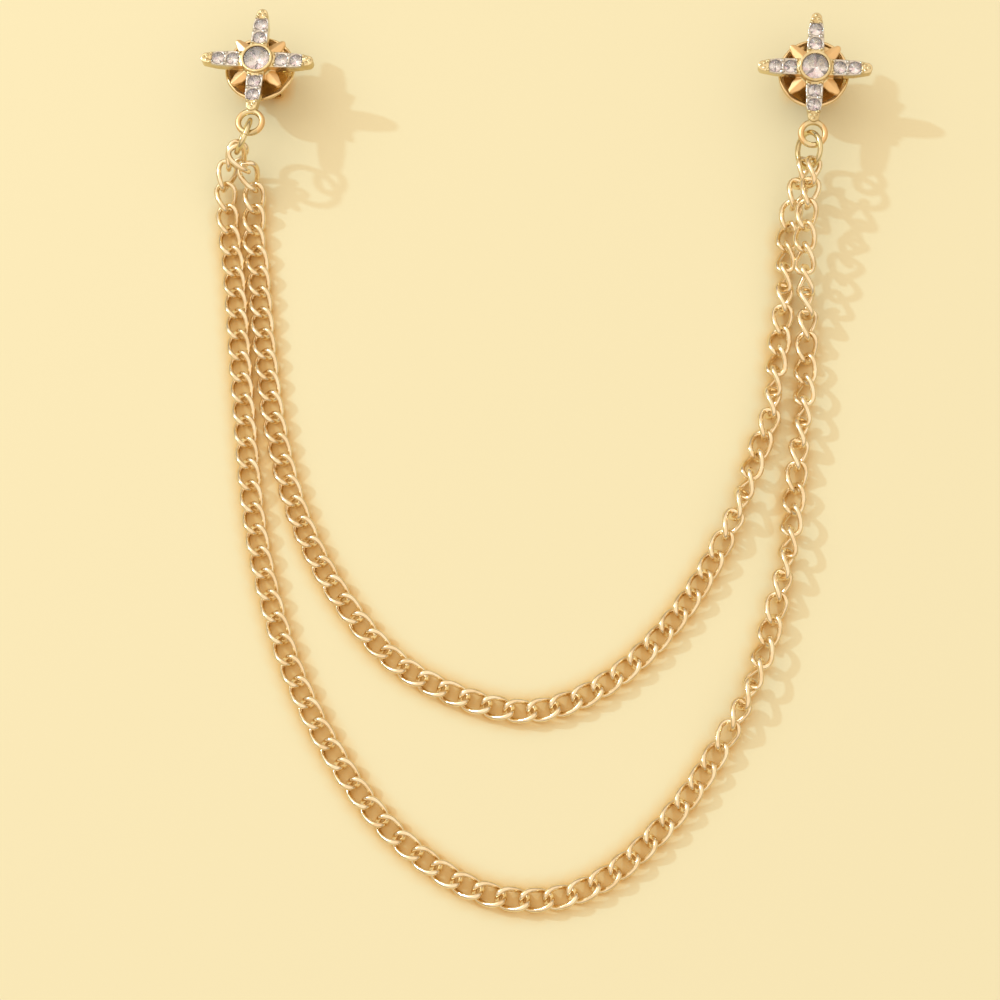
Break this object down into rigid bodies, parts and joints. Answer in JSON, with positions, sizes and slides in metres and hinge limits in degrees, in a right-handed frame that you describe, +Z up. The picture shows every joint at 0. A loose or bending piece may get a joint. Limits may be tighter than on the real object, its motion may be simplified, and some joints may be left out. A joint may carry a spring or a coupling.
{
  "type": "lapel chain with two star pin brooches and a double curb chain",
  "caption": "Two gem-set four-armed star brooches on posts with round butterfly clutches, joined by a long and a short curb chain, laid flat.",
  "frame": {"origin": "on the table under the middle of the whole piece as it lies", "axes": "X from the left brooch to the right one, Y up the page from the chains' bend to the brooches, Z up from the table"},
  "size_m": [0.1038, 0.1382, 0.0103],
  "materials": {
    "star_metal": "polished pale champagne gold plating",
    "ring_metal": "polished pale gold plating",
    "clutch_metal": "bright gold plated pressed sheet",
    "chain_metal": "polished gold plated wire, diamond cut faces",
    "centre_stone": "clear faceted round brilliant",
    "arm_stone": "clear faceted small round brilliants"
  },
  "bodies": {
    "root": {"star_left": "star_metal", "star_right": "star_metal", "centre_stone_left": "centre_stone", "centre_stone_right": "centre_stone", "arm_stone_left_1": "arm_stone", "arm_stone_left_2": "arm_stone", "arm_stone_left_3": "arm_stone", "arm_stone_left_4": "arm_stone", "arm_stone_left_5": "arm_stone", "arm_stone_left_6": "arm_stone", "arm_stone_left_7": "arm_stone", "arm_stone_left_8": "arm_stone", "arm_stone_right_1": "arm_stone", "arm_stone_right_2": "arm_stone", "arm_stone_right_3": "arm_stone", "arm_stone_right_4": "arm_stone", "arm_stone_right_5": "arm_stone", "arm_stone_right_6": "arm_stone", "arm_stone_right_7": "arm_stone", "arm_stone_right_8": "arm_stone", "jump_ring_left": "ring_metal", "jump_ring_right": "ring_metal", "chain_outer": "chain_metal", "chain_inner": "chain_metal"},
    "clutch_left": {"clutch_pad_left": "clutch_metal", "clutch_wings_left": "clutch_metal"},
    "clutch_right": {"clutch_pad_right": "clutch_metal", "clutch_wings_right": "clutch_metal"}
  },
  "joints": [
    {"name": "clutch_left_slide", "type": "slide", "parent": "root", "child": "clutch_left", "axis": [0.0679, -0.0593, -0.9959], "range_m": [0, 0.006]},
    {"name": "clutch_right_slide", "type": "slide", "parent": "root", "child": "clutch_right", "axis": [0.0625, 0.0941, -0.9936], "range_m": [0, 0.006]}
  ]
}
